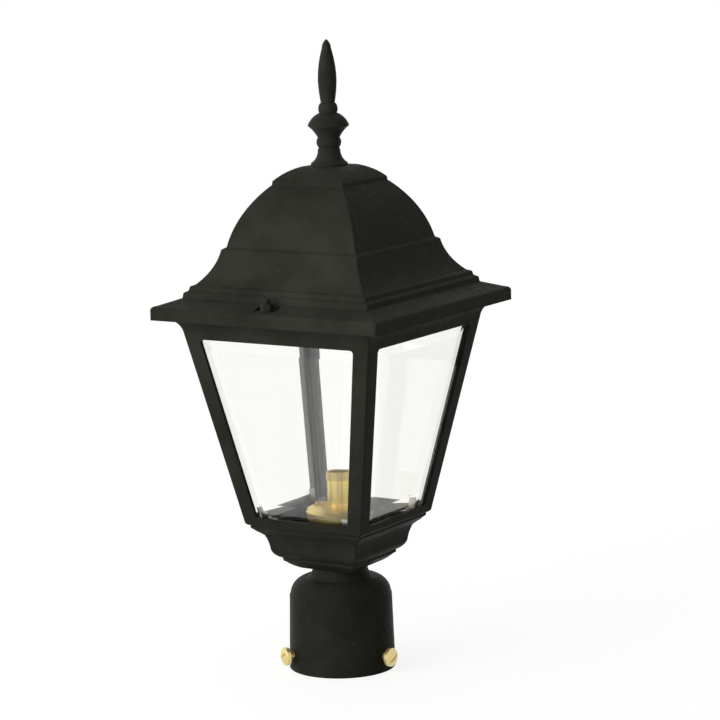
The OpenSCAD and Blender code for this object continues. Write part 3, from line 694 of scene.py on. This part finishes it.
for wedge, turn in zip(with_copies(window_wedge(), 2), (0, 90)):
    wedge.rotation_euler = (0, 0, math.radians(turn))
    settle(wedge)
    use_boolean(cage, wedge, "DIFFERENCE")
ledge_hole = block(76, 76, 8, (-38, -38, 118))
round_along(ledge_hole, Z, 10.0, 6)
use_boolean(cage, ledge_hole, "DIFFERENCE")
print("cage:", len(cage.data.polygons), "faces with its windows")

# %% Ears for the roof's studs, and soft window edges
EAR_WIDTH, EAR_LENGTH, EAR_THICKNESS = 12, 13.6, 3.5
EAR_ROOT = 85.9  # how far out an ear begins
for side in (-1, 1):
    low_y = EAR_ROOT if side > 0 else -EAR_ROOT - EAR_LENGTH
    ear = block(EAR_WIDTH, EAR_LENGTH, EAR_THICKNESS,
                (-EAR_WIDTH / 2, low_y, FLANGE_TOP - EAR_THICKNESS))
    round_along(ear, Z, 5.99, 8, lambda middle: abs(middle.y) > 95)
    use_boolean(cage, ear, "UNION")
ease_edges(cage, 0.45)
smooth(cage)
wear(cage, black_paint, "base", "black_cast", "cage")

# %% [markdown]
# ## The bowl and the collar
#
# Under the cage the lantern narrows in steps to a small round neck, and widens again to the collar.
# The bowl is square like the cage, the collar is round. Both are hollow, so both stacks start
# inside, go round the rim and come back outside.

# %% Bowl
BOWL_WALL = 3.2
bowl_wall = [(21.4, 82.0)] + arc((21.4, 82.0), (31.2, 88.4), -0.6, 6) + [(32.8, 89.4), (33.0, 91.8)]
bowl_wall += arc((33.0, 91.8), (39.8, 99.0), -1.2, 8) + arc((39.8, 99.0), (43.0, 111.0), 0.5, 8)
bowl_rim = [(45.2, 113.0), (47.4, 114.6), (49.2, 116.4), (51.0, 117.9), (51.0, 120.5)]
bowl_outside = list(reversed(bowl_wall + bowl_rim))
bowl_inside = [(x - BOWL_WALL, z + BOWL_WALL) for x, z in bowl_wall]
bowl_inside += [(40.0, 117.3), (38.0, 117.3), (38.0, 120.5)]
bowl_rows = soften(bowl_inside, 0.6, 2) + soften(bowl_outside, 0.6, 3)
bowl = stack("bowl_casting", bowl_rows, sides=4, corner=0.02)
smooth(bowl)
wear(bowl, black_paint, "base", "black_cast", "bowl")

# %% Collar
SCREW_HEIGHT = 13
screw_angles = {"right": -5, "left": -125, "back": 115}


def out_of_collar(angle):
    """Lays down what stands on the origin, lifts it to the screws' height and turns it."""
    return (Matrix.Rotation(math.radians(angle), 4, "Z")
            @ Matrix.Translation((0, 0, SCREW_HEIGHT * MM))
            @ Matrix.Rotation(math.radians(90), 4, "Y"))


collar_inside = [(18.4, 78.5), (18.4, 69.8)] + arc((18.4, 69.8), (35.6, 58.0), 3.4, 10)
collar_inside += [(35.6, 52.0), (38.6, 52.0), (38.6, 0.0)]
collar_outside = [(42.5, 0.0), (40.9, 59.3), (40.3, 60.0)]
collar_outside += arc((40.3, 60.0), (26.0, 73.4), -4, 16)
collar_outside += arc((26.0, 73.4), (22.0, 82.0), 1.2, 10)
collar = stack("collar_casting", soften(collar_inside + collar_outside, 0.5, 3), sides=128)
for angle in screw_angles.values():
    drill = drum(0, 0, 36, 46, 3.05, 32)
    drill.matrix_world = out_of_collar(angle)
    settle(drill)
    use_boolean(collar, drill, "DIFFERENCE")
smooth(collar)
wear(collar, black_paint, "base", "black_cast", "collar")

# %% [markdown]
# ## The collar screws
#
# Three brass screws press the collar to the post. One is modelled standing on the origin, with its
# slot cut and its edges eased, and then it is copied and turned to each of its places.

# %% Slotted screws
SLOT_TURN = 35  # degrees


def slotted_screw(rows, slot_width, slot_floor):
    """A screw that stands on its tip at the origin, turned from rows and slotted from above."""
    screw = stack("turned_screw", soften(rows, 0.3, 2), sides=64)
    slot = block(slot_width, 20, 4, (-slot_width / 2, -10, slot_floor))
    use_boolean(screw, slot, "DIFFERENCE")
    ease_edges(screw, 0.12)
    return screw


collar_screw_rows = [(0.4, 38.9), (2.6, 38.9), (3.0, 39.3), (3.0, 46.45)]
collar_screw_rows += [(7.1, 46.45), (7.4, 46.75), (7.4, 49.62)]
collar_screw_rows += arc((7.4, 49.62), (0.05, 52.45), -0.73, 10)
collar_screws = with_copies(slotted_screw(collar_screw_rows, 1.6, 50.45), len(screw_angles))
for screw, (place, angle) in zip(collar_screws, screw_angles.items()):
    rename(screw, "brass_screw_" + place)
    slot_turn = Matrix.Rotation(math.radians(SLOT_TURN), 4, "Z")
    screw.matrix_world = out_of_collar(angle) @ slot_turn
    settle(screw)
    smooth(screw, 30)
    wear(screw, screw_brass, "screw_" + place, "gold_brass", "collar_screw_" + place)

# %% [markdown]
# ## The lampholder
#
# A spun cup, its cover and a slim sleeve with a ring make the lampholder. Their walls are about a
# millimetre thick or less, and each is a closed stack whose last ring meets its first.

# %% Cup, cover, sleeve and ring
COVER_SCREW_OUT = 14.7  # from the middle axis


def cover_spot(angle):
    """Where a cover screw stands, for its angle in degrees."""
    turn = math.radians(angle)
    return COVER_SCREW_OUT * math.cos(turn), COVER_SCREW_OUT * math.sin(turn)


cup_rows = [(5.05, 120.9), (21.5, 120.9)] + arc((21.5, 120.9), (24.5, 123.9), -0.87, 8)
cup_rows += [(24.5, 128.3), (24.0, 128.3), (24.0, 123.9)]
cup_rows += arc((24.0, 123.9), (21.5, 121.4), 0.72, 8) + [(5.05, 121.4), (5.05, 120.9)]
cover_rows = [(23.0, 128.3), (25.1, 128.3), (25.1, 128.8)]
cover_rows += arc((25.1, 128.8), (8.35, 132.7), -1.3, 12)
cover_rows += [(8.35, 134.3), (7.85, 134.3), (7.85, 132.2)]
cover_rows += arc((7.85, 132.2), (23.0, 128.3), 1.3, 12)
sleeve_rows = [(7.8, 126.9), (7.8, 156.0), (7.3, 156.0), (7.3, 126.9), (7.8, 126.9)]
ring_rows = [(8.65, 152.5), (8.65, 159.0), (6.5, 159.0), (6.5, 157.6)]
ring_rows += [(7.85, 157.6), (7.85, 152.5), (8.65, 152.5)]
cover_screw_turns = {-148: 20, 32: 65}  # each screw's angle round the axis, and its slot's
for name, node, rows, brass in (
        ("brass_cup", "lamp_cup", cup_rows, lamp_brass),
        ("brass_cover", "lamp_cover", cover_rows, lamp_brass),
        ("brass_sleeve", "lamp_sleeve", sleeve_rows, lamp_brass),
        ("brass_ring", "sleeve_ring", ring_rows, ring_brass)):
    piece = stack(name, soften(rows, 0.2, 2), sides=72, closed=True)
    if name == "brass_cover":
        for x, y in map(cover_spot, cover_screw_turns):
            use_boolean(piece, drum(x, y, 130.9, 132.5, 4.1), "UNION")
            use_boolean(piece, drum(x, y, 132.5, 137.0, 4.1), "DIFFERENCE")
            use_boolean(piece, drum(x, y, 127.0, 137.0, 1.55), "DIFFERENCE")
    smooth(piece)
    wear(piece, brass, "base", "gold_brass", node)

# %% The cover's two screws
cover_screw_rows = [(0.4, 125.1), (1.3, 125.1), (1.5, 125.3), (1.5, 132.5)]
cover_screw_rows += [(3.3, 132.5), (3.5, 132.7), (3.5, 133.9)]
cover_screw_rows += arc((3.5, 133.9), (0.05, 135.1), -0.35, 8)
cover_screws = with_copies(slotted_screw(cover_screw_rows, 0.9, 134.2), len(cover_screw_turns))
for screw, (angle, slot_turn) in zip(cover_screws, cover_screw_turns.items()):
    screw.rotation_euler = (0, 0, math.radians(slot_turn))
    move_to(screw, *cover_spot(angle))
unite(*cover_screws, "cover_screw_pair")
smooth(cover_screws[0], 30)
wear(cover_screws[0], ring_brass, "base", "gold_brass", "cover_screws")

# %% [markdown]
# ## Solids that keep their shape
#
# The panes, the clips, the screws and nuts inside, and the lampholder's core are right as they
# are. They only get their finish.

# %% Finishes for the remaining solids
finishes = {"clear_glass": pane_glass, "gold_brass": lamp_brass, "zinc_steel": zinc_steel,
            "black_cast": black_paint, "moulded_black": moulded_black}
slots = {part["node"]: part["material_slot"] for part in frame["record"]["subparts"]}
for name, solid in frame["nodes"].items():
    finish = finishes[slots[name]]
    if not solid.material_slots:
        solid.data.materials.append(finish)
    for material_slot in solid.material_slots:
        material_slot.material = finish
print("solids still shown:", sum(not solid.hide_render for solid in frame["nodes"].values()))

# %% [markdown]
# ## The studio
#
# The photograph has a white background, and its light comes softly from the front left. Most of it
# comes from low down, because the upright faces shine more than the sloping roof does.
#
# The white shows to the camera, in the shiny faces and through the panes. The light that falls on
# the paint comes from a darker room, which is brighter at the front left, so the lantern keeps its
# light and its dark side. The floor near the lantern lies in its shade, and the far floor is left
# out. The paint mirrors very little, because white on all its sides would turn it grey.

# %% Floor
# Metres from the middle axis: the deep shade ends, the shade ends, and the floor has faded away
SHADE_CORE, SHADE_EDGE, FLOOR_EDGE = 0.10, 0.45, 1.3


def sees_white(add):
    """1 for a ray of the camera, off a shiny face or out of glass, and 0 for every other ray."""
    path = add("ShaderNodeLightPath").outputs
    seen = path["Is Camera Ray"]
    for ray in ("Is Glossy Ray", "Is Transmission Ray"):
        seen = maths(add, "MAXIMUM", seen, path[ray])
    return seen


def mixed_shaders(add, factor, one, two):
    node = add("ShaderNodeMixShader")
    for value, socket in zip((factor, one, two), node.inputs):
        feed(value, socket)
    return node.outputs["Shader"]


deselect_all()
bpy.ops.mesh.primitive_circle_add(vertices=96, radius=1.5, fill_type="NGON")
floor = bpy.context.active_object
floor.name = "floor"
floor_material, floor_shader, add = new_finish("floor")
seen = sees_white(add)
from_lantern = add("ShaderNodeVectorMath", Vector=object_place(add))
from_lantern.operation = "LENGTH"
distance = from_lantern.outputs["Value"]
out_of_shade = between(add, distance, SHADE_CORE, SHADE_EDGE, 0, 1)
shade = ramp(add, out_of_shade, 0, 1, (0.03, 0.03, 0.03), (0.40, 0.40, 0.40))
feed(mixed(add, seen, shade, (0.34, 0.34, 0.335, 1)), floor_shader.inputs["Base Color"])
floor_shader.inputs["Roughness"].default_value = 0.9
floor_shader.inputs["Emission Color"].default_value = (1, 1, 1, 1)
feed(between(add, seen, 0, 1, 0, 0.83), floor_shader.inputs["Emission Strength"])
bright = add("ShaderNodeEmission", Strength=1.0).outputs["Emission"]
clear = add("ShaderNodeBsdfTransparent").outputs["BSDF"]
far = mixed_shaders(add, seen, clear, bright)
gone = between(add, distance, SHADE_EDGE, FLOOR_EDGE, 0, 1)
surface = mixed_shaders(add, gone, floor_shader.outputs["BSDF"], far)
feed(surface, floor_material.node_tree.nodes["Material Output"].inputs["Surface"])
floor.data.materials.append(floor_material)
print("floor nodes:", len(floor_material.node_tree.nodes))

# %% World
world = bpy.data.worlds.new("studio")
bpy.context.scene.world = world
world.use_nodes = True
world.node_tree.nodes.clear()
add_to_world = node_adder(world.node_tree)
ray_direction = add_to_world("ShaderNodeTexCoord").outputs["Generated"]


def glow_from(direction, begins, full, low, high):
    """Light that grows from low to high as the ray turns towards this direction."""
    towards = add_to_world("ShaderNodeVectorMath")
    towards.operation = "DOT_PRODUCT"
    feed(ray_direction, towards.inputs[0])
    feed(Vector(direction).normalized(), towards.inputs[1])
    return between(add_to_world, towards.outputs["Value"], begins, full, low, high, "SMOOTHSTEP")


wide_glow = glow_from((-0.75, -0.40, 0.45), -0.3, 0.95, 0.14, 0.46)
low_glow = glow_from((-0.45, -0.87, -0.20), 0.45, 0.95, 0.0, 1.3)
both = maths(add_to_world, "ADD", wide_glow, low_glow)
room = add_to_world("ShaderNodeBackground", Color=(1, 1, 1, 1), Strength=both)
white = add_to_world("ShaderNodeBackground", Color=(1, 1, 1, 1), Strength=1.0)
background = mixed_shaders(add_to_world, sees_white(add_to_world),
                           room.outputs["Background"], white.outputs["Background"])
add_to_world("ShaderNodeOutputWorld", Surface=background)
print("world nodes:", len(world.node_tree.nodes))


# %% Lamps
def softbox(name, place, aim, width, height, watts):
    data = bpy.data.lights.new(name, "AREA")
    data.shape = "RECTANGLE"
    data.size, data.size_y = width, height
    data.energy = watts
    lamp = bpy.data.objects.new(name, data)
    bpy.context.scene.collection.objects.link(lamp)
    backward = (Vector(place) - Vector(aim)).normalized()
    turn = backward.to_track_quat("Z", "Y").to_matrix().to_4x4()
    lamp.matrix_world = Matrix.Translation(place) @ turn
    print(name, "at", place)


softbox("key", (-1.4, -1.9, 1.1), aim=(0, 0, 0.25), width=1.6, height=1.6, watts=3.5)
softbox("strip", (-0.30, -1.2, 0.70), aim=(0, 0, 0.42), width=0.25, height=0.4, watts=1.4)

# %% [markdown]
# ## Last settings
#
# The colours are shown through the Standard view transform, and nothing is left selected.

# %% View transform and selection
bpy.context.scene.view_settings.view_transform = "Standard"
deselect_all()
